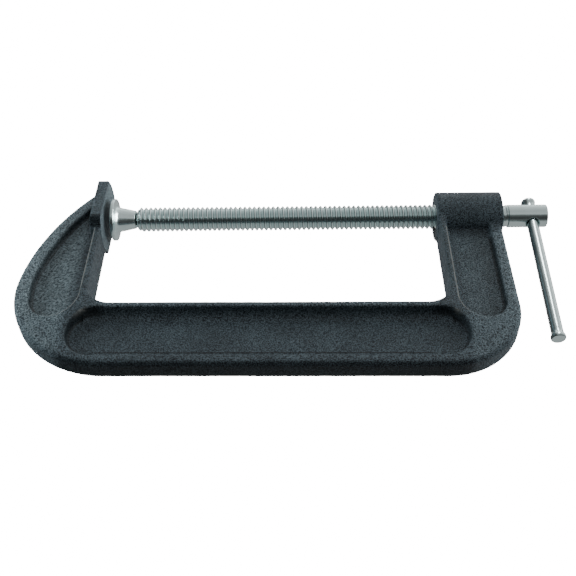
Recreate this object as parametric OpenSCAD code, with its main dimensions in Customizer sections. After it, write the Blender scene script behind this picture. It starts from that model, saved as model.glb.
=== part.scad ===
// C clamp, 8 inch size, lying on its side.
// Origin: centre of the anvil face, on the axis of the screw.
// +X runs along the screw from the anvil to the handle, +Y points from the
// spine towards the screw, and +Z is across the width of the casting.

/* [Jaw] */
// Distance from the anvil face to the inner face of the screw arm
jaw_l = 220.5; // [150:0.1:320]
// Distance from the screw axis to the spine at the anvil end
throat_anvil_end = 85.9; // [60:0.1:120]
// Distance from the screw axis to the spine at the screw end
throat_screw_end = 87.3; // [60:0.1:120]
// Radius of the two inside corners of the throat
throat_corner_r = 15; // [5:0.5:30]

/* [Casting section] */
// Width of the inner flange, across the casting
flange_w = 22.4; // [16:0.1:30]
// Thickness of the inner flange
flange_t = 3.6; // [2.5:0.1:6]
// Width of the outer rim, across the casting
rim_w = 14; // [10:0.5:20]
// Thickness of the web between the rims
web_t = 5.6; // [3:0.1:9]
// Depth of the spine, from the throat to its back
spine_h = 44.2; // [30:0.1:60]
// Depth of the anvil arm at its widest, from the throat to its back
anvil_arm_w = 45.6; // [40:0.1:50]
// Depth of the screw arm, from the throat to its back
screw_arm_w = 40.7; // [30:0.1:50]
// Rim left between a pocket and the back of the anvil arm
anvil_arm_rim = 9.5; // [6:0.5:12]
// Rim left between the spine pocket and the back of the spine
spine_rim = 6.8; // [5:0.1:10]
// Rim left between a pocket and the back of the screw arm
screw_arm_rim = 7.8; // [6:0.1:12]
// Radius of the long curve behind the anvil arm
arm_curve_r = 150.4; // [135:0.1:175]
// Radius of the corner between the anvil arm and the spine
heel_r = 62.2; // [57:0.1:68]
// Angle that the corner's curve carries on above its centre, where the long curve starts
heel_reach = 6.5; // [4:0.5:9]
// Radius of the corner between the spine and the screw arm
toe_r = 46.5; // [42:0.1:55]
// Distance from each end of the throat to the centre of the spine pocket's round end
spine_pocket_inset = 8.6; // [4:0.1:20]

/* [Anvil] */
// Height of the anvil, along Y
anvil_d = 49.6; // [42:0.1:60]
// Width of the anvil between its two flats
anvil_w = 33.6; // [26:0.1:40]
// Thickness of the anvil
anvil_t = 7.5; // [5:0.5:10]
// How far the anvil face stands proud of the arm
anvil_step = 0.6; // [0.5:0.1:3]
// How far the centre of the anvil lies beyond the screw axis
anvil_rise = 3; // [0:0.1:4]

/* [Boss] */
// Diameter of the boss that holds the screw
boss_d = 32.4; // [26:0.1:40]
// Length of the boss
boss_l = 42.5; // [30:0.5:60]
// How far the boss stands out into the throat
boss_step = 0.6; // [0.5:0.1:3]
// Radial clearance between the screw and its bore
thread_clearance = 0.05; // [0.02:0.01:0.09]
// Gap between the boss and the head when the jaws are closed
head_gap = 1.9; // [1:0.1:10]

/* [Screw] */
// Outside diameter of the thread
screw_d = 16.4; // [12:0.1:20]
// Diameter of the plain head, which is the size of the bar before rolling
head_d = 15.2; // [11:0.1:18]
// Length of the plain head
head_l = 26; // [20:0.5:40]
// Width of each run-out ring between the thread and the head
ring_w = 2.4; // [1.2:0.1:3]
// Diameter of the cross hole for the handle
cross_hole_d = 8.6; // [8.2:0.1:9]
// Distance from the centre of the cross hole to the end of the head
cross_hole_inset = 9.9; // [8:0.1:16]
// Diameter of the ball in the swivel pad
ball_d = 10.4; // [9.9:0.1:11]
// Diameter of the neck behind the ball
neck_d = 7.6; // [6:0.1:8]

/* [Swivel pad] */
// Gap between the anvil and the pad, as the clamp is set
jaw_gap = 3.6; // [0:0.1:100]
// Diameter of the disc of the pad
pad_d = 28.2; // [22:0.1:32]
// Thickness of the disc at its edge
pad_t = 2.5; // [2:0.1:4]
// Overall length of the pad
pad_l = 15.6; // [14:0.1:16.5]
// Distance from the face of the pad to the centre of the ball
ball_inset = 7.6; // [7:0.1:8]
// Diameter of the skirt near the disc
skirt_d = 16; // [14.6:0.1:18]
// Diameter of the mouth of the skirt, crimped behind the ball
mouth_d = 9; // [8.6:0.1:9.6]
// Radial clearance between the ball and its socket
ball_clearance = 0.09; // [0.05:0.01:0.15]

/* [Handle] */
// Diameter of the sliding bar
bar_d = 7.5; // [6:0.1:8]
// Overall length of the bar
bar_l = 113.6; // [90:0.1:160]
// Diameter of the two flared ends
bar_end_d = 9.3; // [9.2:0.1:12]
// Length of each flared end
bar_end_l = 5.4; // [3:0.1:8]
// Turn of the handle about the screw, below the plane of the casting
handle_turn = 6; // [0:1:360]

/* [Hidden] */
$fn = 64;

// The arms and the back of the spine
anvil_arm_x = -anvil_step;
anvil_arm_back_x = anvil_arm_x - anvil_arm_w;
screw_arm_x = jaw_l;
screw_arm_back_x = jaw_l + screw_arm_w;
anvil_end_back_y = -throat_anvil_end - spine_h;
screw_end_back_y = -throat_screw_end - spine_h;

// The curves of the back: the long curve of the anvil arm meets the corner's curve in line with it
curve_y = anvil_end_back_y + heel_r;
heel_x = anvil_arm_back_x + heel_r;
arm_curve_x = heel_x + (arm_curve_r - heel_r) * cos(heel_reach);
arm_curve_y = curve_y - (arm_curve_r - heel_r) * sin(heel_reach);
toe_x = screw_arm_back_x - toe_r;
toe_y = screw_end_back_y + toe_r;

// The arms end inside the anvil and inside the boss
anvil_arm_top_y = anvil_rise + anvil_d / 2 - 3.4;
flange_top_y = anvil_rise - anvil_d / 2 + flange_t;
screw_arm_top_y = -boss_d / 4;

// The spine pocket
spine_pocket_r = (spine_h - flange_t - spine_rim) / 2;
spine_pocket_top_y = [-throat_anvil_end - flange_t, -throat_screw_end - flange_t];
spine_pocket_x = [spine_pocket_inset, jaw_l - spine_pocket_inset];

// The round lower ends of the two arm pockets
anvil_pocket_y = -78;
anvil_pocket_x = anvil_arm_x - flange_t;
anvil_pocket_left_x = heel_x - sqrt(pow(heel_r - anvil_arm_rim, 2) - pow(anvil_pocket_y - curve_y, 2));
anvil_pocket_r = (anvil_pocket_x - anvil_pocket_left_x) / 2;
screw_pocket_r = (screw_arm_w - flange_t - screw_arm_rim) / 2;
screw_pocket_x = screw_arm_x + flange_t + screw_pocket_r;
screw_pocket_y = -82.4;

// The boss
boss_x = jaw_l - boss_step;
boss_end_x = boss_x + boss_l;
bore_r = screw_d / 2 + thread_clearance;
bore_chamfer = 0.8;

// The swivel pad and the ball end
ball_r = ball_d / 2;
socket_r = ball_r + ball_clearance;
ball_x = jaw_gap + ball_inset;
neck_angle = asin(neck_d / ball_d);
skirt_end_x = jaw_gap + pad_l;
thread_x = skirt_end_x + 1;

// The head of the screw, and the run-out rings between it and the thread
head_x = boss_end_x + head_gap + jaw_gap;
screw_end_x = head_x + head_l;
cross_hole_x = screw_end_x - cross_hole_inset;
ring_n = 2;
run_out_x = head_x - (ring_n + 1) * ring_w;

// The handle rests with the inside of its far end against the head
bar_end_seat = head_d / 2 + 0.3;
bar_far = bar_end_seat + bar_end_l;
bar_near = bar_l - bar_far;

past = 1; // overshoot of every cutter
sliver = 0.01; // overlap of two cutters that meet

// Rectangle between two opposite corners
module box2(x0, y0, x1, y1) translate([x0, y0]) square([x1 - x0, y1 - y0]);

// A slab of the given thickness, centred on the plane of the casting
module slab(t) translate([0, 0, -t / 2]) linear_extrude(height = t) children();

// A solid turned about the screw axis from points [distance along X, radius]
module turned(points)
    rotate([0, 90, 0]) rotate_extrude()
        polygon([for (p = points) [p[1], p[0]]]);

// Fillet of radius r in the corner at [x, y]; sx and sy point into the opening
module inside_corner(x, y, r, sx, sy)
    difference() {
        box2(min(x, x + sx * r), min(y, y + sy * r), max(x, x + sx * r), max(y, y + sy * r));
        translate([x + sx * r, y + sy * r]) circle(r = r, $fn = 96);
    }

// ---- Outline of the casting, seen along Z ----

// What lies inside the curves of the back, moved in by inset, from low_y up and left of right_x
module anvil_arm_side(inset, low_y, right_x) {
    meet_y = curve_y + (heel_r - inset) * sin(heel_reach);
    intersection() {
        translate([arm_curve_x, arm_curve_y]) circle(r = arm_curve_r - inset, $fn = 360);
        box2(anvil_arm_back_x - past, meet_y, right_x, anvil_arm_top_y);
    }
    intersection() {
        translate([heel_x, curve_y]) circle(r = heel_r - inset, $fn = 180);
        box2(anvil_arm_back_x - past, low_y, right_x, meet_y);
    }
}

module anvil_arm_outline() anvil_arm_side(0, anvil_end_back_y - past, anvil_arm_x);

module spine_outline() {
    intersection() {
        translate([heel_x, curve_y]) circle(r = heel_r, $fn = 180);
        box2(anvil_arm_x, anvil_end_back_y - past, heel_x, -throat_anvil_end);
    }
    polygon([
        [anvil_arm_x, -throat_anvil_end], [screw_arm_x, -throat_screw_end],
        [toe_x, -throat_screw_end], [toe_x, screw_end_back_y], [heel_x, anvil_end_back_y],
        [heel_x, spine_pocket_top_y[0]], [anvil_arm_x, spine_pocket_top_y[0]]
    ]);
}

module screw_arm_outline() {
    box2(screw_arm_x, toe_y, screw_arm_back_x, screw_arm_top_y);
    intersection() {
        translate([toe_x, toe_y]) circle(r = toe_r, $fn = 180);
        union() {
            box2(toe_x, screw_end_back_y - past, screw_arm_back_x + past, -throat_screw_end);
            box2(screw_arm_x, -throat_screw_end - past, screw_arm_back_x + past, toe_y);
        }
    }
}

module throat_corners() {
    inside_corner(anvil_arm_x, -throat_anvil_end, throat_corner_r, 1, 1);
    inside_corner(screw_arm_x, -throat_screw_end, throat_corner_r, -1, 1);
}

module casting_outline() {
    anvil_arm_outline();
    spine_outline();
    screw_arm_outline();
    throat_corners();
}

// The inner flange follows the throat, from the anvil to the boss
module inner_flange_outline() {
    left_x = anvil_arm_x - flange_t;
    right_x = screw_arm_x + flange_t;
    box2(left_x, spine_pocket_top_y[0], anvil_arm_x, flange_top_y);
    box2(screw_arm_x, spine_pocket_top_y[1], right_x, screw_arm_top_y);
    polygon([
        [left_x, -throat_anvil_end], [right_x, -throat_screw_end],
        [right_x, spine_pocket_top_y[1]], [left_x, spine_pocket_top_y[0]]
    ]);
    throat_corners();
}

// ---- Pockets on both faces of the casting ----

module spine_pocket() {
    top = spine_pocket_top_y;
    bottom = [for (y = top) y - 2 * spine_pocket_r];
    for (i = [0, 1])
        translate([spine_pocket_x[i], top[i] - spine_pocket_r])
            circle(r = spine_pocket_r, $fn = 96);
    polygon([
        [spine_pocket_x[0], top[0]], [spine_pocket_x[1], top[1]],
        [spine_pocket_x[1], bottom[1]], [spine_pocket_x[0], bottom[0]]
    ]);
}

module anvil_arm_pocket() {
    anvil_arm_side(anvil_arm_rim, anvil_pocket_y, anvil_pocket_x);
    translate([anvil_pocket_x - anvil_pocket_r, anvil_pocket_y])
        circle(r = anvil_pocket_r, $fn = 96);
}

module screw_arm_pocket() {
    box2(screw_pocket_x - screw_pocket_r, screw_pocket_y,
         screw_pocket_x + screw_pocket_r, screw_arm_top_y + past);
    translate([screw_pocket_x, screw_pocket_y]) circle(r = screw_pocket_r, $fn = 96);
}

module pockets() {
    spine_pocket();
    anvil_arm_pocket();
    screw_arm_pocket();
}

// ---- Pieces ----

module anvil()
    intersection() {
        translate([-anvil_t, anvil_rise, 0]) rotate([0, 90, 0])
            cylinder(d = anvil_d, h = anvil_t, $fn = 128);
        translate([-anvil_t - past, -anvil_d, -anvil_w / 2])
            cube([anvil_t + 2 * past, 2 * anvil_d, anvil_w]);
    }

// The body of the boss is turned with its two edges broken
module boss() {
    edge = 1;
    r = boss_d / 2;
    turned([
        [boss_x, 0], [boss_x, r - edge], [boss_x + edge, r],
        [boss_end_x - edge, r], [boss_end_x, r - edge], [boss_end_x, 0]
    ]);
}

module screw_bore() {
    translate([boss_x - past, 0, 0]) rotate([0, 90, 0])
        cylinder(r = bore_r, h = boss_l + 2 * past);
    for (end = [[boss_x, 90], [boss_end_x, -90]])
        translate([end[0], 0, 0]) rotate([0, end[1], 0]) translate([0, 0, -past])
            cylinder(r1 = bore_r + bore_chamfer + past, r2 = bore_r - sliver,
                     h = bore_chamfer + past + sliver);
}

// Iron casting: web, outer rim, inner flange, anvil and boss in one piece
module frame() color([0.27, 0.30, 0.32])
    difference() {
        union() {
            slab(web_t) casting_outline();
            slab(rim_w) difference() {
                casting_outline();
                pockets();
            }
            slab(flange_w) inner_flange_outline();
            anvil();
            boss();
        }
        screw_bore();
    }

// Plated steel screw: ball end, neck, thread, run-out rings and head in one piece
module screw() color([0.74, 0.77, 0.77])
    difference() {
        turned(concat(screw_ball_end(), screw_rings(), screw_head()));
        translate([cross_hole_x, 0, 0]) rotate([90 + handle_turn, 0, 0])
            translate([0, 0, -head_d]) cylinder(d = cross_hole_d, h = 2 * head_d);
    }

// The ball, the neck and the thread, whose two ends are tapered
function screw_ball_end() = concat(
    [for (a = [180 : -6 : neck_angle]) [ball_x + ball_r * cos(a), ball_r * sin(a)]],
    [
        [ball_x + ball_r * cos(neck_angle), neck_d / 2], [thread_x, neck_d / 2],
        [thread_x + 0.6, screw_d / 2 - 1.2], [thread_x + 1.8, screw_d / 2],
        [run_out_x - 0.8, screw_d / 2]
    ]
);

// Rings with a shallow groove on each side
function screw_rings(groove = 0.5) = [
    for (i = [0 : ring_n - 1]) each [
        [run_out_x + i * ring_w, head_d / 2 - groove],
        [run_out_x + i * ring_w + groove, head_d / 2],
        [run_out_x + (i + 1) * ring_w - groove, head_d / 2],
        [run_out_x + (i + 1) * ring_w, head_d / 2 - groove]
    ]
];

function screw_head(edge = 1) = [
    [head_x, head_d / 2], [screw_end_x - edge, head_d / 2],
    [screw_end_x, head_d / 2 - edge], [screw_end_x, 0]
];

// Plated steel pad: a disc with a skirt crimped round the ball
module swivel_pad() color([0.78, 0.80, 0.80])
    difference() {
        translate([jaw_gap, 0, 0]) turned(concat(pad_disc(), pad_skirt()));
        translate([ball_x, 0, 0]) rotate([0, 90, 0]) sphere(r = socket_r);
        translate([ball_x, 0, 0]) rotate([0, 90, 0]) cylinder(d = mouth_d, h = pad_l);
    }

function pad_disc(edge = 0.4) = [
    [0, 0], [0, pad_d / 2 - edge], [edge, pad_d / 2],
    [pad_t - edge, pad_d / 2], [pad_t, pad_d / 2 - 2 * edge]
];

// The hollow shoulder behind the disc, and the skirt that narrows to its crimped end
function pad_skirt(shoulder = 4.4) = concat(
    [
        for (t = [0.25 : 0.25 : 1])
            [pad_t + shoulder * t, skirt_d / 2 + (pad_d - skirt_d) / 2 * pow(1 - t, 3)]
    ],
    [
        [pad_l - 4, skirt_d / 2 - 0.9], [pad_l - 0.6, skirt_d / 2 - 1.7],
        [pad_l, skirt_d / 2 - 2.2], [pad_l, 0]
    ]
);

// Plated steel bar that slides through the head, flared at both ends
module handle_bar() color([0.76, 0.78, 0.78])
    translate([cross_hole_x, 0, 0]) rotate([90 + handle_turn, 0, 0])
        rotate_extrude() polygon(concat(
            [[0, -bar_far]], bar_flare(-bar_far, 1), bar_flare(bar_near, -1), [[0, bar_near]]
        ));

// One flared end from its face at z; side is 1 if the bar lies above z, or -1 below it
function bar_flare(z, side, edge = 0.8, taper = 2.2) =
    let (
        r = bar_d / 2,
        end_r = bar_end_d / 2,
        points = [
            [end_r - edge, z], [end_r, z + side * edge],
            [end_r, z + side * (bar_end_l - taper)], [r, z + side * bar_end_l]
        ]
    )
    side > 0 ? points : [for (i = [len(points) - 1 : -1 : 0]) points[i]];

frame();
screw();
swivel_pad();
handle_bar();
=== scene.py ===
"""Looks of the C clamp: a painted iron casting with a zinc plated screw, swivel pad and sliding bar.

Shapes are worked out in millimetres in the CAD frame (+X along the screw, +Y from the spine to the
screw, +Z across the casting) and scaled to metres when a mesh is made.
"""

import math

import bmesh
import bpy
import numpy as np
import openvdb
from mathutils import Matrix, Vector, noise


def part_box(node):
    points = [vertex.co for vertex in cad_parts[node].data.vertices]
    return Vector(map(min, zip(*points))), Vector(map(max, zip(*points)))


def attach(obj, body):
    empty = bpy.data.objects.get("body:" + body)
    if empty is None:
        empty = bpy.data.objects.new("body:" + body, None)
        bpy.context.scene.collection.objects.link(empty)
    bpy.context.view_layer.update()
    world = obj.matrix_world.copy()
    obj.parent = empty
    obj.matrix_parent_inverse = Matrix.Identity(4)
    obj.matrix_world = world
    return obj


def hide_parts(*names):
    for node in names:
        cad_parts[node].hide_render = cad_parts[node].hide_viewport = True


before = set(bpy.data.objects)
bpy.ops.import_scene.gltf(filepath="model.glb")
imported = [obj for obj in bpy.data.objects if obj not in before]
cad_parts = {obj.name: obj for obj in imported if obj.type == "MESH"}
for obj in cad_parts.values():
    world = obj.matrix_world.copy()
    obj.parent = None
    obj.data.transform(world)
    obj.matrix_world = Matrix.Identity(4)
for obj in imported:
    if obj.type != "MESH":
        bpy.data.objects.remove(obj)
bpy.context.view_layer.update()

MM = 0.001


# ---------------------------------------------------------------- sizes, in mm, from the CAD frame

def node_box(node):
    """Lowest and highest corner of a CAD node, in mm."""
    low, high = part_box(node)
    return np.array(low) / MM, np.array(high) / MM


casting_low, casting_high = node_box("frame")
screw_low, screw_high = node_box("screw")
pad_low, pad_high = node_box("swivel_pad")

# Throat: the inner faces of the two arms and the top of the spine, which falls a little to the right
ANVIL_ARM_X = -0.6
ANVIL_ARM_LEAN = 0.014
SCREW_ARM_X = 220.5
THROAT_Y = (-85.9, -87.3)
THROAT_CORNER_R = 15.0

# Outer line of the casting
BACK_Y = (-130.1, -131.5)
ARM_CURVE_R = 150.4
HEEL_R = 62.2
HEEL_REACH = math.radians(6.5)
TOE_R = 46.5
CURVE_Y = BACK_Y[0] + HEEL_R
SCREW_ARM_BACK_X = 261.2
ANVIL_ARM_TOP_Y = 24.0
SCREW_ARM_TOP_Y = -8.0

# Section of the casting: half widths, measured from the middle plane
FLANGE_HALF = 11.2
RIM_HALF = 7.0
WEB_HALF = 2.8
FLANGE_T = 3.6
ANVIL_ARM_RIM = 9.5
SPINE_RIM = 6.8
SCREW_ARM_RIM = 7.8
POCKET_FILLET = 1.5
FLANGE_FILLET = 4.5
WALL_DRAFT = math.tan(math.radians(10))
SIDE_DRAFT = math.tan(math.radians(0.5))
THROAT_EDGE_R = 0.5
BACK_EDGE_EXTRA_R = 2.7
POCKET_EDGE_R = 0.5
MIDDLE_X = 100.0  # the anvil arm lies left of here, the boss arm right of it
FACE_LOW_Y = -45.0  # the anvil's face and the ends of the boss lie above this

# Anvil and boss
ANVIL_R = 24.8
ANVIL_Y = 3.0
ANVIL_T = 7.5
CONTACT_GAP = 0.06  # each jaw face lies this far inside its solid, so that closed jaws only just meet
BOSS_R = 16.2
BOSS_X = 219.9
BORE_R = 8.32
PLATE_EDGE_R = 0.6
FACE_EDGE_R = 0.45
PLATE_FILLET = 0.8
BOSS_EDGE_R = 0.35
BOSS_FILLET = 1.0
BORE_EDGE_R = 0.6

# How the casting is sampled, thinned and roughened
CASTING_PITCH = 0.7
CASTING_TRIANGLES = 190_000
LUMP_HEIGHT = 0.07
LUMP_SIZE = 6.0

# Screw
PITCH = 3.175
THREAD_R = screw_high[2]
ROOT_R = 6.7
HEAD_R = 7.6
HEAD_L = 26.0
RING_W = 2.4
RINGS = 2
GROOVE_DEPTH = 0.6
ROOT_POWER = 1.4  # of a cosine wave: above 1 the crests stay round and the roots get wider
THREAD_STEPS = 16  # in each turn's pitch; one more would take the piece past 200,000 triangles
THREAD_SIDES = 60
HEAD_PITCH = 0.3
HEAD_EDGE_R = 0.6
HEAD_CROWN = 0.15
HOLE_LIP_R = 0.7
HOLE_R = 4.3
HOLE_INSET = 9.9
HANDLE_TURN = math.radians(6)

# Swivel pad and ball
BALL_R = 5.2
SOCKET_R = 5.29
BALL_INSET = 7.6
NECK_R = 3.8

# Handle bar
BAR_R = 3.75
BAR_END_R = 4.65
BAR_L = 113.6
BAR_FAR = 13.3


# ---------------------------------------------------------------- distance fields and meshes

def joined(a, b, r):
    """Distance field of two shapes together, with a fillet of radius r where they meet."""
    corner = np.hypot(np.maximum(r - a, 0), np.maximum(r - b, 0))
    return np.maximum(np.minimum(a, b), r) - corner


def common(a, b, r):
    """Distance field of what two shapes share, with its edge rounded to radius r."""
    return -joined(-a, -b, r)


def smooth(t):
    """0 to 1 in an S curve, for t from 0 to 1."""
    t = np.clip(t, 0, 1)
    return t * t * (3 - 2 * t)


def fade(value, none, full):
    """0 where value is at none, rising in an S curve to 1 where it is at full."""
    return smooth((value - none) / (full - none))


def field_mesh(name, field, low, high, pitch):
    """A closed mesh of the surface where field(x, y, z) is 0, from samples that are pitch mm apart."""
    margin = 3 * pitch
    axes = [np.arange(a - margin, b + margin + pitch, pitch) for a, b in zip(low, high)]
    x, y, z = np.ix_(*axes)
    values = np.clip(field(x, y, z), -margin, margin).astype(np.float32)
    grid = openvdb.FloatGrid(margin)
    grid.copyFromArray(values)
    points, triangles, quads = grid.convertToPolygons()
    points = points * pitch + np.array([a[0] for a in axes])
    return new_mesh(name, points, [*triangles.tolist(), *quads.tolist()])


def new_mesh(name, points, faces):
    """A smooth shaded mesh object from points in mm."""
    mesh = bpy.data.meshes.new(name)
    mesh.from_pydata((np.asarray(points) * MM).tolist(), [], faces)
    mesh.shade_smooth()
    obj = bpy.data.objects.new(name, mesh)
    bpy.context.scene.collection.objects.link(obj)
    return obj


def turned_mesh(name, rows, sides, radius=None):
    """A closed surface turned about X from rows (x, r). radius(x, r, angle) may vary r round the turn."""
    angles = np.linspace(0, 2 * math.pi, sides, endpoint=False)
    x, r = (np.array(v, float)[:, None] for v in zip(*rows[1:-1]))
    reach = r + 0 * angles if radius is None else radius(x, r, angles)
    rings = np.stack([x + 0 * angles, reach * np.cos(angles), reach * np.sin(angles)], axis=-1)
    ends = [[rows[0][0], 0, 0], [rows[-1][0], 0, 0]]
    points = np.concatenate([rings.reshape(-1, 3), ends])
    n = len(rings)
    start, finish = n * sides, n * sides + 1
    faces = []
    for j in range(sides):
        k = (j + 1) % sides
        faces.append((start, k, j))
        faces.append((finish, (n - 1) * sides + j, (n - 1) * sides + k))
        faces += [(i * sides + j, i * sides + k, i * sides + sides + k, i * sides + sides + j)
                  for i in range(n - 1)]
    return new_mesh(name, points, faces)


def arc(cx, cr, radius, start, end, steps):
    """Points (x, r) on an arc about (cx, cr), from start to end in degrees."""
    angles = np.radians(np.linspace(start, end, steps + 1))
    return [(cx + radius * math.cos(a), cr + radius * math.sin(a)) for a in angles]


def apply_modifiers(obj):
    """Replaces the object's mesh with the one its modifiers give."""
    graph = bpy.context.evaluated_depsgraph_get()
    mesh = bpy.data.meshes.new_from_object(obj.evaluated_get(graph))
    obj.modifiers.clear()
    obj.data = mesh
    obj.data.shade_smooth()


def drop_folds(mesh):
    """Removes triangles that lie back to back on the same three places, then merges the points there."""
    work = bmesh.new()
    work.from_mesh(mesh)
    bmesh.ops.triangulate(work, faces=work.faces)
    by_place = {}
    for face in work.faces:
        by_place.setdefault(frozenset(tuple(v.co) for v in face.verts), []).append(face)
    folded = [face for twins in by_place.values() if len(twins) == 2 for face in twins]
    bmesh.ops.delete(work, geom=folded, context="FACES")
    bmesh.ops.remove_doubles(work, verts=work.verts, dist=1e-9)
    work.to_mesh(mesh)
    work.free()


# ---------------------------------------------------------------- the casting

def throat_field(x, y):
    """Distance outside the throat, which is an opening with two round corners."""
    slope = (THROAT_Y[1] - THROAT_Y[0]) / (SCREW_ARM_X - ANVIL_ARM_X)
    bottom = THROAT_Y[0] + slope * (x - ANVIL_ARM_X) - y
    left_x = ANVIL_ARM_X - ANVIL_ARM_LEAN * (y + 20)
    left = common(left_x - x, bottom, THROAT_CORNER_R)
    right = common(x - SCREW_ARM_X, bottom, THROAT_CORNER_R)
    middle = (ANVIL_ARM_X + SCREW_ARM_X) / 2
    return np.where(x < middle, left, right)


def arm_curve(x, y, inset):
    """Distance outside the back of the anvil arm moved in by inset: a long arc that runs into the heel."""
    heel_x = casting_low[0] + HEEL_R
    reach = ARM_CURVE_R - HEEL_R
    centre_x = heel_x + reach * math.cos(HEEL_REACH)
    centre_y = CURVE_Y - reach * math.sin(HEEL_REACH)
    heel = np.hypot(x - heel_x, y - CURVE_Y) - HEEL_R
    arm = np.hypot(x - centre_x, y - centre_y) - ARM_CURVE_R
    above = (y - CURVE_Y) * math.cos(HEEL_REACH) + (x - heel_x) * math.sin(HEEL_REACH) > 0
    return np.where(above, arm, heel) + inset


def outer_field(x, y):
    """Distance inside the casting's outer line, below 0 inside: arcs and two straight sides."""
    heel_x = casting_low[0] + HEEL_R
    toe_x = SCREW_ARM_BACK_X - TOE_R
    toe_y = BACK_Y[1] + TOE_R
    slope = (BACK_Y[1] - BACK_Y[0]) / (toe_x - heel_x)
    spine = BACK_Y[0] + slope * (x - heel_x) - y
    toe = np.hypot(x - toe_x, y - toe_y) - TOE_R
    right = np.where(y > toe_y, x - SCREW_ARM_BACK_X, toe)
    return np.where(x < heel_x, arm_curve(x, y, 0), np.where(x < toe_x, spine, right))


def anvil_arm_pocket(x, y):
    """Half moon between the inner flange and the long curve, with a round lower end."""
    right_x = ANVIL_ARM_X - FLANGE_T
    low_y = -78.0
    left_x = casting_low[0] + HEEL_R - math.sqrt((HEEL_R - ANVIL_ARM_RIM) ** 2 - (low_y - CURVE_Y) ** 2)
    low_r = (right_x - left_x) / 2
    moon = common(arm_curve(x, y, ANVIL_ARM_RIM), x - right_x, 2.5)
    end = np.hypot(x - right_x + low_r, y - low_y) - low_r
    return np.minimum(np.maximum(moon, low_y - y), end)


def spine_pocket(x, y):
    """Long slot with full round ends."""
    inset = 8.6
    r = (THROAT_Y[0] - BACK_Y[0] - FLANGE_T - SPINE_RIM) / 2
    x0 = inset
    x1 = SCREW_ARM_X - inset
    y0, y1 = (t - FLANGE_T - r for t in THROAT_Y)
    t = np.clip((x - x0) / (x1 - x0), 0, 1)
    return np.hypot(x - x0 - t * (x1 - x0), y - y0 - t * (y1 - y0)) - r


def screw_arm_pocket(x, y):
    """Slot with a round lower end, open upwards to the boss."""
    low_y = -82.4
    r = (SCREW_ARM_BACK_X - SCREW_ARM_X - FLANGE_T - SCREW_ARM_RIM) / 2
    middle = SCREW_ARM_X + FLANGE_T + r
    end = np.hypot(x - middle, y - low_y) - r
    return np.where(y > low_y, np.abs(x - middle) - r, end)


def pocket_field(x, y):
    """Distance outside the nearest of the three pockets."""
    return np.minimum(np.minimum(anvil_arm_pocket(x, y), spine_pocket(x, y)), screw_arm_pocket(x, y))


def casting_field(x, y, z):
    """The whole casting: an I section frame with an anvil plate and a bored boss."""
    z = np.abs(z)
    throat = throat_field(x, y)
    outer = outer_field(x, y)

    # The land falls from the flange at the throat to the rim at the back
    rim = np.where(y < CURVE_Y, SPINE_RIM, np.where(x < MIDDLE_X, ANVIL_ARM_RIM, SCREW_ARM_RIM))
    between = np.maximum(throat - outer - FLANGE_T - rim, 1)
    across = smooth((throat - FLANGE_T) / between)
    land = FLANGE_HALF + (RIM_HALF - FLANGE_HALF) * across

    # Body with a crisp edge at the throat and a full one at the back
    top = np.where(x < MIDDLE_X, y - ANVIL_ARM_TOP_Y, y - SCREW_ARM_TOP_Y)
    plan = np.maximum(np.maximum(outer, -throat), top) + z * SIDE_DRAFT
    body = common(plan, z - land, THROAT_EDGE_R + BACK_EDGE_EXTRA_R * across)

    # Pockets with drafted walls and a filleted floor, fullest under the flange of the spine
    under_flange = fade(y, -112, -100) * fade(y, -86, -89) * (x > 0) * (x < SCREW_ARM_X)
    fillet = POCKET_FILLET + (FLANGE_FILLET - POCKET_FILLET) * under_flange
    cutter = common(pocket_field(x, y) + (land - z) * WALL_DRAFT, WEB_HALF - z, fillet)
    solid = common(body, -cutter, POCKET_EDGE_R)

    # Anvil plate: a disc with two flats
    disc = common(np.hypot(y - ANVIL_Y, z) - ANVIL_R, z - casting_high[2], PLATE_EDGE_R)
    anvil = common(disc, np.abs(x + ANVIL_T / 2) - ANVIL_T / 2, FACE_EDGE_R)
    solid = joined(solid, anvil, PLATE_FILLET)

    # Boss, bored right through
    boss_end = casting_high[0]
    half = (boss_end - BOSS_X) / 2
    round_axis = np.hypot(y, z)
    boss = common(round_axis - BOSS_R, np.abs(x - boss_end + half) - half, BOSS_EDGE_R)
    solid = joined(solid, boss, BOSS_FILLET)

    # Nothing stands beyond the anvil's face or the two ends of the boss
    clear = np.maximum(np.maximum(-CONTACT_GAP - x, x - BOSS_X), FACE_LOW_Y - y)
    solid = np.maximum(np.maximum(solid, -clear), x - boss_end)
    bore = np.maximum(round_axis - BORE_R, BOSS_X - BOSS_R - x)
    return common(solid, -bore, BORE_EDGE_R)


def sand_cast(obj, height, size):
    """Moves each point along its normal by low lumps, as a sand mould leaves them, but not on the jaw."""
    mesh = obj.data
    points = np.empty(len(mesh.vertices) * 3, np.float32)
    normals = np.empty_like(points)
    mesh.vertices.foreach_get("co", points)
    mesh.vertex_normals.foreach_get("vector", normals)
    places = (points / (size * MM)).reshape(-1, 3).tolist()
    lumps = np.array([noise.fractal(p, 0.6, 2.0, 3) for p in places], np.float32)
    x, y, z = points.reshape(-1, 3).T / MM
    lumps *= (x < -1) | (x > 1) | (y < FACE_LOW_Y)
    points += normals * np.repeat(lumps * height * MM, 3)
    mesh.vertices.foreach_set("co", points)
    mesh.update()


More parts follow.
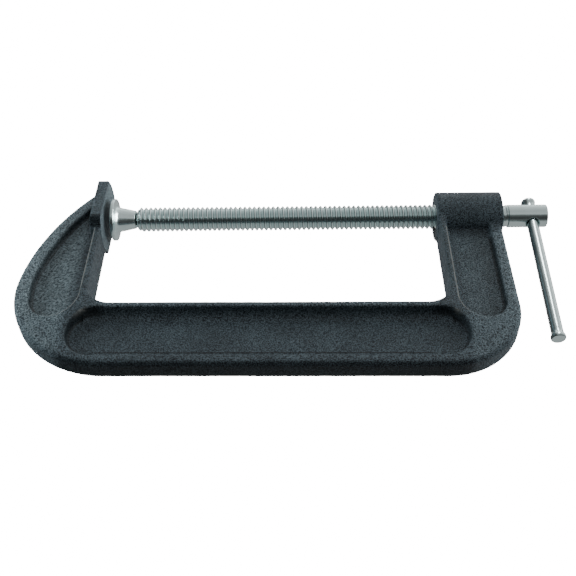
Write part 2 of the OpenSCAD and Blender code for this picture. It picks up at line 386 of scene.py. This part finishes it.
def painted_light_tone(x, y, z):
    """Painted light and shade: how pale the paint is made, 1 on the spine, more on the arms and the flange,
    most on the anvil's face, less at the back and on the low part of the anvil plate's rim.
    """
    face_x = -0.3
    # Painted light on the arms, the right rim and the spine's flange
    left_arm = (1.6 - 0.65 * fade(y, -88, -100)) * fade(x, -ANVIL_T, -ANVIL_T - 8)
    right_arm = 0.60 * fade(x, SCREW_ARM_X + 4, SCREW_ARM_X + 12) * fade(y, -18, -26)
    right_rim = 0.40 * fade(x, 252, 258) * fade(y, -24, -32)
    flange = 0.6 * ((throat_field(x, y) < FLANGE_T) & (y < -84) & (x > 8) & (x < 212))
    plate = (x > -ANVIL_T) & (x < face_x) & (y > -22) & (np.abs(z) > FLANGE_HALF)
    # Painted shade on the low part of the anvil plate's rim, painted light above it
    plate_rim = np.where(y < -13.5, -0.48, 0.4) * plate
    # Painted light on the anvil's face, standing in for the reflection it catches
    face = 1.6 * ((x > face_x) & (x < 1) & (y > -25))
    # Painted shade on the back, which faces away from the light
    back = 0.42 * fade(outer_field(x, y), -2.6, -1.0) * fade(y, -104, -118)
    return 1 + left_arm + right_arm + right_rim + flange + plate_rim + face - back


def edge_wear_and_highlight(x, y, z):
    """Where the pocket edges get worn paint and a painted highlight: only beside the inner flange of the
    two arms.
    """
    left_arm = fade(x, -26, -16) * fade(x, 4, 0)
    right_arm = fade(x, SCREW_ARM_X + 24, SCREW_ARM_X + 14) * fade(x, SCREW_ARM_X - 1, SCREW_ARM_X + 1)
    arms = np.where(x < MIDDLE_X, left_arm, right_arm)
    return arms * fade(y, -19, -22) * fade(y, -98, -90)


def wall_shade(x, y, z):
    """Where shade is painted on the pocket walls: along the back of the arms and round the ends of the
    spine's.
    """
    to_flange = x - ANVIL_ARM_X + FLANGE_T
    curve_side = smooth(0.5 + (arm_curve(x, y, ANVIL_ARM_RIM) - to_flange) / 4)
    back_side = fade(x, 243, 249) * fade(y, -22, -26)
    ends = np.maximum(fade(x, 14, 6), fade(x, SCREW_ARM_X - 14, SCREW_ARM_X - 6))
    arms = np.where(x < MIDDLE_X, curve_side, back_side)
    return np.where(spine_pocket(x, y) > pocket_field(x, y), arms, ends)


def crease_shade_place(x, y, z):
    """Where a fine line of painted shade follows the low side of the spine pocket's floor, as in a crease
    there.
    """
    return fade(y, -112, -116) * fade(x, 6, 12) * fade(x, SCREW_ARM_X - 12, SCREW_ARM_X - 18)


def drag_marks(x, y, z):
    """Where drag marks replace some of the grain: in the anvil arm's pocket."""
    return fade(x, -2, -6) * (pocket_field(x, y) < 0)


def store_on_points(obj, name, field):
    """Stores field(x, y, z), with the place in mm, on each point for the material to read."""
    points = np.empty(len(obj.data.vertices) * 3, np.float32)
    obj.data.vertices.foreach_get("co", points)
    x, y, z = points.reshape(-1, 3).T / MM
    attribute = obj.data.attributes.new(name, "FLOAT", "POINT")
    attribute.data.foreach_set("value", field(x, y, z).astype(np.float32))


def make_casting():
    """The casting, with what its paint depends on stored on its points before the lumps move them."""
    casting = field_mesh("casting", casting_field, casting_low, casting_high, CASTING_PITCH)
    thin = casting.modifiers.new("thin", "DECIMATE")
    thin.ratio = CASTING_TRIANGLES / sum(len(p.vertices) - 2 for p in casting.data.polygons)
    apply_modifiers(casting)
    store_on_points(casting, "from_pocket", lambda x, y, z: pocket_field(x, y))
    store_on_points(casting, "dragged", drag_marks)
    store_on_points(casting, "light_and_shade", painted_light_tone)
    store_on_points(casting, "wear_and_highlight", edge_wear_and_highlight)
    store_on_points(casting, "painted_wall_shade", wall_shade)
    store_on_points(casting, "crease_shade", crease_shade_place)
    sand_cast(casting, LUMP_HEIGHT, LUMP_SIZE)
    return casting


# ---------------------------------------------------------------- the screw

def thread_radius(x, r, angle):
    """Rolled right-hand thread with round crests and wider roots, which runs out at both ends."""
    turn = x / PITCH - angle / (2 * math.pi)
    wave = np.abs(np.cos(math.pi * turn)) ** ROOT_POWER
    return np.where(r > ROOT_R, ROOT_R + np.maximum(r - ROOT_R, 0) * wave, r)


def make_screw():
    """The ball, neck, thread and run-out rings are turned, and the head is a field with its cross hole."""
    ball_x = pad_low[0] + BALL_INSET
    skirt_end = pad_high[0]
    end_x = screw_high[0]
    head_x = end_x - HEAD_L
    run_out_x = head_x - RINGS * RING_W
    thread_x = skirt_end + 1.1
    neck_angle = math.degrees(math.asin(NECK_R / BALL_R))

    rows = arc(ball_x, 0, BALL_R, 180, neck_angle, 22)
    rows += [(skirt_end - 2, NECK_R), (thread_x - 0.4, NECK_R), (thread_x, NECK_R + 0.6)]
    rows += [(thread_x + 0.1, ROOT_R - 0.6), (thread_x + 0.4, ROOT_R)]
    first = thread_x + 0.5
    last = run_out_x - 0.3
    steps = round((last - first) / PITCH * THREAD_STEPS)
    for x in np.linspace(first, last, steps + 1):
        rise = min(1, (x - first) / 1.2, (last - x) / 2.5)
        rows.append((x, ROOT_R + (THREAD_R - ROOT_R) * max(rise, 0.001)))
    rows += [(run_out_x, ROOT_R)]
    groove_r = HEAD_R - GROOVE_DEPTH
    for i in range(RINGS):
        x = run_out_x + i * RING_W
        rows += [(x + 0.25, groove_r), (x + 0.5, HEAD_R - 0.1), (x + RING_W / 2, HEAD_R)]
        rows += [(x + RING_W - 0.5, HEAD_R - 0.1), (x + RING_W - 0.25, groove_r)]
    rows += [(head_x + 0.1, groove_r), (head_x + 2, groove_r), (head_x + 2, 0)]
    screw = turned_mesh("screw_body", rows, THREAD_SIDES, thread_radius)

    head = field_mesh("screw_head", head_field, [head_x - 1, -HEAD_R, -HEAD_R],
                      [end_x, HEAD_R, HEAD_R], HEAD_PITCH)
    join = screw.modifiers.new("join", "BOOLEAN")
    join.object = head
    join.operation = "UNION"
    join.solver = "MANIFOLD"
    apply_modifiers(screw)
    drop_folds(screw.data)
    bpy.data.objects.remove(head)
    return screw


def head_field(x, y, z):
    """Plain head with a slightly crowned end and a cross hole with rounded lips."""
    end_x = screw_high[0]
    radial = np.hypot(y, z)
    crown = HEAD_CROWN * (radial / HEAD_R) ** 2
    length = np.abs(x + crown - end_x + HEAD_L / 2) - HEAD_L / 2
    plain = common(radial - HEAD_R, length, HEAD_EDGE_R)
    across = z * math.cos(HANDLE_TURN) - y * math.sin(HANDLE_TURN)
    hole = np.hypot(x - end_x + HOLE_INSET, across) - HOLE_R
    return common(plain, -hole, HOLE_LIP_R)


# ---------------------------------------------------------------- the pad and the bar

def make_pad():
    """A disc with a hollow shoulder and a skirt that narrows to its crimped end round the ball."""
    face = pad_low[0]
    end = pad_high[0]
    disc_r = pad_high[1]
    rim_t = 2.5
    skirt_r = 7.9
    end_r = 6.1
    mouth_r = 4.5
    shoulder_r = 4.3
    ball_x = face + BALL_INSET
    flat = face + CONTACT_GAP
    taper_x = face + rim_t + shoulder_r
    rows = [(flat, 0), (flat, disc_r * 0.5), (flat, disc_r - 0.9)]
    rows += arc(flat + 0.4, disc_r - 0.4, 0.4, 180, 90, 4)
    rows += arc(face + rim_t - 0.4, disc_r - 0.4, 0.4, 90, 0, 5)
    rows += [(face + rim_t + 0.1, skirt_r + shoulder_r + 0.8)]
    rows += arc(taper_x, skirt_r + shoulder_r, shoulder_r, 180, 256, 14)
    for t in (0.3, 0.5, 0.7, 0.85):
        rows.append((taper_x + (end - 0.5 - taper_x) * t, skirt_r + (end_r - skirt_r) * t))
    rows += arc(end - 0.5, end_r - 0.5, 0.5, 72, 0, 6)
    rows += [(end, mouth_r + 0.2), (end - 0.3, mouth_r)]
    mouth_angle = math.degrees(math.asin(mouth_r / SOCKET_R))
    rows += arc(ball_x, 0, SOCKET_R, mouth_angle, 180, 20)
    return turned_mesh("pad_disc", rows, 96)


def make_bar():
    """A round bar with both ends upset, turned about X and then laid along the cross hole."""
    near = BAR_L - BAR_FAR
    rows = flare(-BAR_FAR, 1)
    rows += [(x, BAR_R) for x in np.linspace(-BAR_FAR + 6, near - 6, 12)]
    rows += flare(near, -1)[::-1]
    bar = turned_mesh("sliding_bar", rows, 56)
    along = Vector((0, -math.cos(HANDLE_TURN), -math.sin(HANDLE_TURN)))
    side = Vector((1, 0, 0))
    hole_x = (screw_high[0] - HOLE_INSET) * MM
    place = Matrix((along, side, along.cross(side))).transposed().to_4x4()
    place.translation = (hole_x, 0, 0)
    bar.data.transform(place)
    return bar


def flare(end, way):
    """One upset end from its face inwards; way is the direction from the face to the middle."""
    r = BAR_END_R
    profile = [(0, 0), (0.02, r * 0.5), (0.12, r - 1.0), (0.3, r - 0.5), (0.7, r - 0.12), (1.2, r)]
    profile += [(1.8, r), (2.4, r - 0.08), (3.0, r - 0.3), (3.6, r - 0.58), (4.3, r - 0.8), (5.4, BAR_R)]
    return [(end + way * x, y) for x, y in profile]


# ---------------------------------------------------------------- materials

def node_adder(tree):
    """A function that adds a shader node, sets its inputs or links them, and sets its properties."""
    def add(kind, links=(), **values):
        node = tree.nodes.new("ShaderNode" + kind)
        for key, value in values.items():
            setattr(node, key, value)
        for socket, source in dict(links).items():
            if isinstance(source, bpy.types.NodeSocket):
                tree.links.new(source, node.inputs[socket])
            else:
                node.inputs[socket].default_value = source
        return node

    return add


def new_material(name):
    """A node material, its Principled shader, its tree and a function that adds nodes to it."""
    material = bpy.data.materials.new(name)
    material.use_nodes = True
    tree = material.node_tree
    return material, tree.nodes["Principled BSDF"], tree, node_adder(tree)


def line_mask(add, distance, middle, full, none, weight):
    """weight on a line full mm to each side of middle, fading to 0 at none mm from it."""
    offset = add("Math", {0: distance, 1: middle}, operation="SUBTRACT")
    gap = add("Math", {0: offset.outputs["Value"]}, operation="ABSOLUTE")
    line = add("MapRange", {"Value": gap.outputs["Value"], "From Min": full, "From Max": none,
                            "To Min": 1.0, "To Max": 0.0})
    place = add("Attribute", attribute_name=weight).outputs["Fac"]
    return add("Math", {0: line.outputs["Result"], 1: place}, operation="MULTIPLY").outputs["Value"]


def cast_paint():
    """Charcoal paint over a sand cast surface: grain, drag marks on one arm, worn edges with a painted
    highlight, small pits, and painted light and shade on its parts, pocket walls and a crease.
    """
    material, shader, tree, add = new_material("cast_paint")
    dark = (0.006, 0.011, 0.015, 1)
    pale = (0.086, 0.119, 0.138, 1)
    less_blue = (1.02, 0.98, 0.93, 1)
    # Colour of worn paint with a painted highlight on the edges
    worn_paint_and_highlight = (0.21, 0.225, 0.215, 1)
    pit_black = (0.004, 0.005, 0.006, 1)
    place = add("TexCoord").outputs["Object"]
    grain = add("TexNoise", {"Vector": place, "Scale": 1500.0, "Detail": 2.0, "Roughness": 0.6})
    coarse = add("TexNoise", {"Vector": place, "Scale": 420.0, "Detail": 3.0, "Roughness": 0.6})
    mottle = add("TexNoise", {"Vector": place, "Scale": 60.0, "Detail": 3.0})

    # Weak diagonal drag marks on the anvil arm, up to the right
    along = add("Mapping", {"Vector": place, "Rotation": (0, 0, math.radians(35)),
                            "Scale": (1 / 600, 1 / 1700, 1 / 1700)}, vector_type="TEXTURE")
    drag = add("TexNoise", {"Vector": along.outputs["Vector"], "Scale": 1.0, "Detail": 2.0})
    dragged = add("Attribute", attribute_name="dragged").outputs["Fac"]
    on_arm = add("Math", {0: dragged, 1: 0.55}, operation="MULTIPLY")
    texture = add("Mix", {"Factor": on_arm.outputs["Value"], "A": grain.outputs["Fac"],
                          "B": drag.outputs["Fac"]})

    speckle = add("MapRange", {"Value": texture.outputs["Result"], "From Min": 0.42, "From Max": 0.60})
    colour = add("Mix", {"Factor": speckle.outputs["Result"], "A": dark, "B": pale}, data_type="RGBA")
    shade = add("MapRange", {"Value": mottle.outputs["Fac"], "From Min": 0.3, "From Max": 0.7,
                             "To Min": 0.82, "To Max": 1.15})
    # Painted light and shade, stored on the points, scales the colour
    light_and_shade = add("Attribute", attribute_name="light_and_shade").outputs["Fac"]
    shade = add("Math", {0: shade.outputs["Result"], 1: light_and_shade}, operation="MULTIPLY")

    # Painted shade: the walls of the pockets and a fine crease along the floor of the longest one are
    # darker
    distance = add("Attribute", attribute_name="from_pocket").outputs["Fac"]
    painted_wall_shade = line_mask(add, distance, -1.1, 0.7, 1.5, "painted_wall_shade")
    crease_shade = line_mask(add, distance, -4.5, 0.25, 0.7, "crease_shade")
    painted_shade = add("Math", {0: painted_wall_shade, 1: crease_shade}, operation="MAXIMUM")
    unshaded = add("MapRange", {"Value": painted_shade.outputs["Value"], "To Min": 1.0, "To Max": 0.33})
    shade = add("Math", {0: shade.outputs["Value"], 1: unshaded.outputs["Result"]}, operation="MULTIPLY")
    toned = add("VectorMath", {0: colour.outputs["Result"], "Scale": shade.outputs["Value"]},
                operation="SCALE")

    # Where more light is painted, the paint is also less blue
    pale_part = add("MapRange", {"Value": light_and_shade, "From Min": 1.0, "From Max": 2.4, "To Max": 1.0})
    tint = add("Mix", {"Factor": pale_part.outputs["Result"], "A": (1, 1, 1, 1),
                       "B": less_blue}, data_type="RGBA")
    toned = add("VectorMath", {0: toned.outputs["Vector"], 1: tint.outputs["Result"]}, operation="MULTIPLY")

    # Worn paint and a painted highlight: pale along the edges beside the inner flange of the arms
    edge = line_mask(add, distance, 0.15, 0.3, 0.85, "wear_and_highlight")
    patchy = add("MapRange", {"Value": coarse.outputs["Fac"], "From Min": 0.35, "From Max": 0.6,
                              "To Min": 0.2, "To Max": 0.8})
    worn_and_lit = add("Math", {0: edge, 1: patchy.outputs["Result"]}, operation="MULTIPLY")
    edged = add("Mix", {"Factor": worn_and_lit.outputs["Value"], "A": toned.outputs["Vector"],
                        "B": worn_paint_and_highlight}, data_type="RGBA")

    cell = add("TexVoronoi", {"Vector": place, "Scale": 130.0})
    chosen = add("Math", {0: cell.outputs["Color"], 1: 0.93}, operation="GREATER_THAN")
    inside = add("Math", {0: cell.outputs["Distance"], 1: 0.075}, operation="LESS_THAN")
    pit = add("Math", {0: chosen.outputs["Value"], 1: inside.outputs["Value"]}, operation="MULTIPLY")
    pitted = add("Mix", {"Factor": pit.outputs["Value"], "A": edged.outputs["Result"],
                         "B": pit_black}, data_type="RGBA")
    tree.links.new(pitted.outputs["Result"], shader.inputs["Base Color"])

    rough = add("MapRange", {"Value": coarse.outputs["Fac"], "From Min": 0.3, "From Max": 0.7,
                             "To Min": 0.45, "To Max": 0.7})
    tree.links.new(rough.outputs["Result"], shader.inputs["Roughness"])
    gloss = add("MapRange", {"Value": light_and_shade, "From Min": 0.4, "To Min": 0.12, "To Max": 0.4})
    tree.links.new(gloss.outputs["Result"], shader.inputs["Specular IOR Level"])

    low = add("Bump", {"Height": coarse.outputs["Fac"], "Distance": 0.0006, "Strength": 0.5})
    fine = add("Bump", {"Height": texture.outputs["Result"], "Distance": 0.0005, "Strength": 0.6,
                        "Normal": low.outputs["Normal"]})
    tree.links.new(fine.outputs["Normal"], shader.inputs["Normal"])
    return material


def zinc_plate(name, tint, rough_low, rough_high, streaks):
    """Bright zinc plate: soft cloudy roughness and faint drawing marks along streaks (scale per axis)."""
    material, shader, tree, add = new_material(name)
    place = add("TexCoord").outputs["Object"]
    stretched = add("Mapping", {"Vector": place, "Scale": streaks})
    marks = add("TexNoise", {"Vector": stretched.outputs["Vector"], "Scale": 500.0, "Detail": 4.0})
    cloud = add("TexNoise", {"Vector": place, "Scale": 350.0, "Detail": 3.0})
    colour = add("Mix", {"Factor": cloud.outputs["Fac"], "A": (*[0.86 * c for c in tint], 1),
                         "B": (*tint, 1)}, data_type="RGBA")
    tree.links.new(colour.outputs["Result"], shader.inputs["Base Color"])
    rough = add("MapRange", {"Value": cloud.outputs["Fac"], "From Min": 0.3, "From Max": 0.7,
                             "To Min": rough_low, "To Max": rough_high})
    tree.links.new(rough.outputs["Result"], shader.inputs["Roughness"])
    shader.inputs["Metallic"].default_value = 1.0
    bump = add("Bump", {"Height": marks.outputs["Fac"], "Distance": 0.00012, "Strength": 0.35})
    tree.links.new(bump.outputs["Normal"], shader.inputs["Normal"])
    return material


# ---------------------------------------------------------------- stage

# Brightness of the surroundings, by degrees up from the camera's side and over to the far side
SURROUNDINGS = [(-180, 0.8), (-165, 0.38), (-18, 0.35), (-7, 0.19), (4, 0.07), (14, 0.04), (34, 0.05),
                (46, 0.10), (54, 0.16), (60, 0.52), (66, 0.44), (94, 0.40), (142, 0.65), (180, 1.3)]
BRIGHTEST = 1.5


def make_camera():
    """Looks down at the clamp from its spine side, at 46 degrees."""
    elevation = math.radians(46)
    yaw = math.radians(-1.654)
    roll = math.radians(-1.648)
    distance = 534.987 * MM
    target = Vector((121.951, -65.257, 0)) * MM
    forward = Vector((math.sin(yaw) * math.cos(elevation), math.cos(yaw) * math.cos(elevation),
                      -math.sin(elevation)))
    level = Vector((math.cos(yaw), -math.sin(yaw), 0))
    up = level.cross(forward)
    right = math.cos(roll) * level + math.sin(roll) * up
    top = math.cos(roll) * up - math.sin(roll) * level
    camera = bpy.data.objects.new("camera", bpy.data.cameras.new("camera"))
    bpy.context.scene.collection.objects.link(camera)
    camera.matrix_world = Matrix((right, top, -forward)).transposed().to_4x4()
    camera.matrix_world.translation = target - forward * distance
    camera.data.lens = 53.885
    camera.data.sensor_width = 36
    camera.data.clip_start = 0.01
    bpy.context.scene.camera = camera


def make_softbox(name, place, aim, width, height, power, glossy=True):
    """A soft light, which may be kept out of reflections."""
    data = bpy.data.lights.new(name, "AREA")
    data.shape = "RECTANGLE"
    data.size = width
    data.size_y = height
    data.energy = power
    light = bpy.data.objects.new(name, data)
    light.location = place
    light.rotation_euler = (Vector(aim) - Vector(place)).to_track_quat("-Z", "Y").to_euler()
    light.visible_glossy = glossy
    bpy.context.scene.collection.objects.link(light)
    return light


def light_only(light, piece):
    """Lets the light fall on one piece alone."""
    receivers = bpy.data.collections.new(light.name + "_receivers")
    receivers.objects.link(piece)
    light.light_linking.receiver_collection = receivers


def make_world():
    """Soft surroundings that change with the angle about X and are dim on the anvil's side."""
    world = bpy.data.worlds.new("studio")
    world.use_nodes = True
    bpy.context.scene.world = world
    tree = world.node_tree
    tree.nodes.clear()
    add = node_adder(tree)
    place = add("TexCoord").outputs["Generated"]
    parts = add("SeparateXYZ", {"Vector": place})
    near = add("Math", {0: parts.outputs["Y"], 1: -1.0}, operation="MULTIPLY")
    angle = add("Math", {0: parts.outputs["Z"], 1: near.outputs["Value"]}, operation="ARCTAN2")
    turn = add("MapRange", {"Value": angle.outputs["Value"], "From Min": -math.pi, "From Max": math.pi})
    ramp = add("ValToRGB", {"Fac": turn.outputs["Result"]})
    stops = ramp.color_ramp.elements
    for degrees, _ in SURROUNDINGS[1:-1]:
        stops.new((degrees + 180) / 360)
    for stop, (degrees, level) in zip(stops, SURROUNDINGS):
        stop.position = (degrees + 180) / 360
        stop.color = (*[level / BRIGHTEST] * 3, 1)
    level = add("MapRange", {"Value": parts.outputs["X"], "From Min": -0.6, "From Max": -0.15,
                             "To Min": 0.2 * BRIGHTEST, "To Max": 1.3 * BRIGHTEST})
    background = add("Background", {"Color": ramp.outputs["Color"], "Strength": level.outputs["Result"]})
    add("OutputWorld", {"Surface": background.outputs["Background"]})


def make_floor():
    """A pale sheet that rises far away all round, so that every view has the same plain ground."""
    material, shader, _, _ = new_material("pale_floor")
    shader.inputs["Base Color"].default_value = (0.86, 0.87, 0.88, 1)
    shader.inputs["Roughness"].default_value = 0.9
    shader.inputs["Emission Color"].default_value = (1, 1, 1, 1)
    shader.inputs["Emission Strength"].default_value = 16.5
    level = casting_low[2] - 0.05
    flat, rise, sides = 2500, 2500, 64
    rows = [(flat + rise * math.sin(t), rise * (1 - math.cos(t)))
            for t in np.linspace(0, math.pi / 2, 13)]
    angles = np.linspace(0, 2 * math.pi, sides, endpoint=False)
    points = [(0, 0, level)]
    points += [(r * math.cos(a), r * math.sin(a), level + h) for r, h in rows for a in angles]
    faces = [(0, 1 + j, 1 + (j + 1) % sides) for j in range(sides)]
    for i in range(len(rows) - 1):
        for j in range(sides):
            a, b = 1 + i * sides + j, 1 + i * sides + (j + 1) % sides
            faces.append((a, a + sides, b + sides, b))
    floor = new_mesh("floor", points, faces)
    floor.data.materials.append(material)
    floor.visible_diffuse = False
    floor.visible_glossy = False


# ---------------------------------------------------------------- assembly

def place_piece(piece, material, body, node):
    """Gives the piece its material and its slot, and puts it on its body in place of the CAD node."""
    piece.data.materials.clear()
    piece.data.materials.append(material)
    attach(piece, body)
    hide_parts(node)


make_camera()
make_world()
make_floor()

# Two weak lights for the whole clamp, and one each for the pad's highlight and the bar's bright line
make_softbox("left", (-0.85, 0.05, 0.26), (0.05, -0.06, 0), 0.7, 0.35, 11, glossy=False)
make_softbox("right", (1.10, 0.05, 0.26), (0.20, -0.06, 0), 0.7, 0.35, 7, glossy=False)
glint = make_softbox("pad_glint", (1.10, 0.05, 0.38), (0.01, 0, 0), 0.8, 0.8, 32)
bar_line = make_softbox("bar_line", (0.47, 0.74, 0.89), (0.29, -0.04, 0), 0.20, 0.7, 6.0)

# The pieces, each in place of its CAD node
zinc = (0.70, 0.83, 0.83)
place_piece(make_casting(), cast_paint(), "frame", "frame")
place_piece(make_screw(), zinc_plate("zinc_screw", zinc, 0.12, 0.22, (0.15, 1, 1)),
            "screw", "screw")
pad = make_pad()
light_only(glint, pad)
place_piece(pad, zinc_plate("zinc_pad", zinc, 0.18, 0.28, (1, 1, 1)),
            "pad", "swivel_pad")
bar = make_bar()
light_only(bar_line, bar)
place_piece(bar, zinc_plate("zinc_bar", zinc, 0.14, 0.24, (1, 0.1, 1)),
            "handle", "handle_bar")
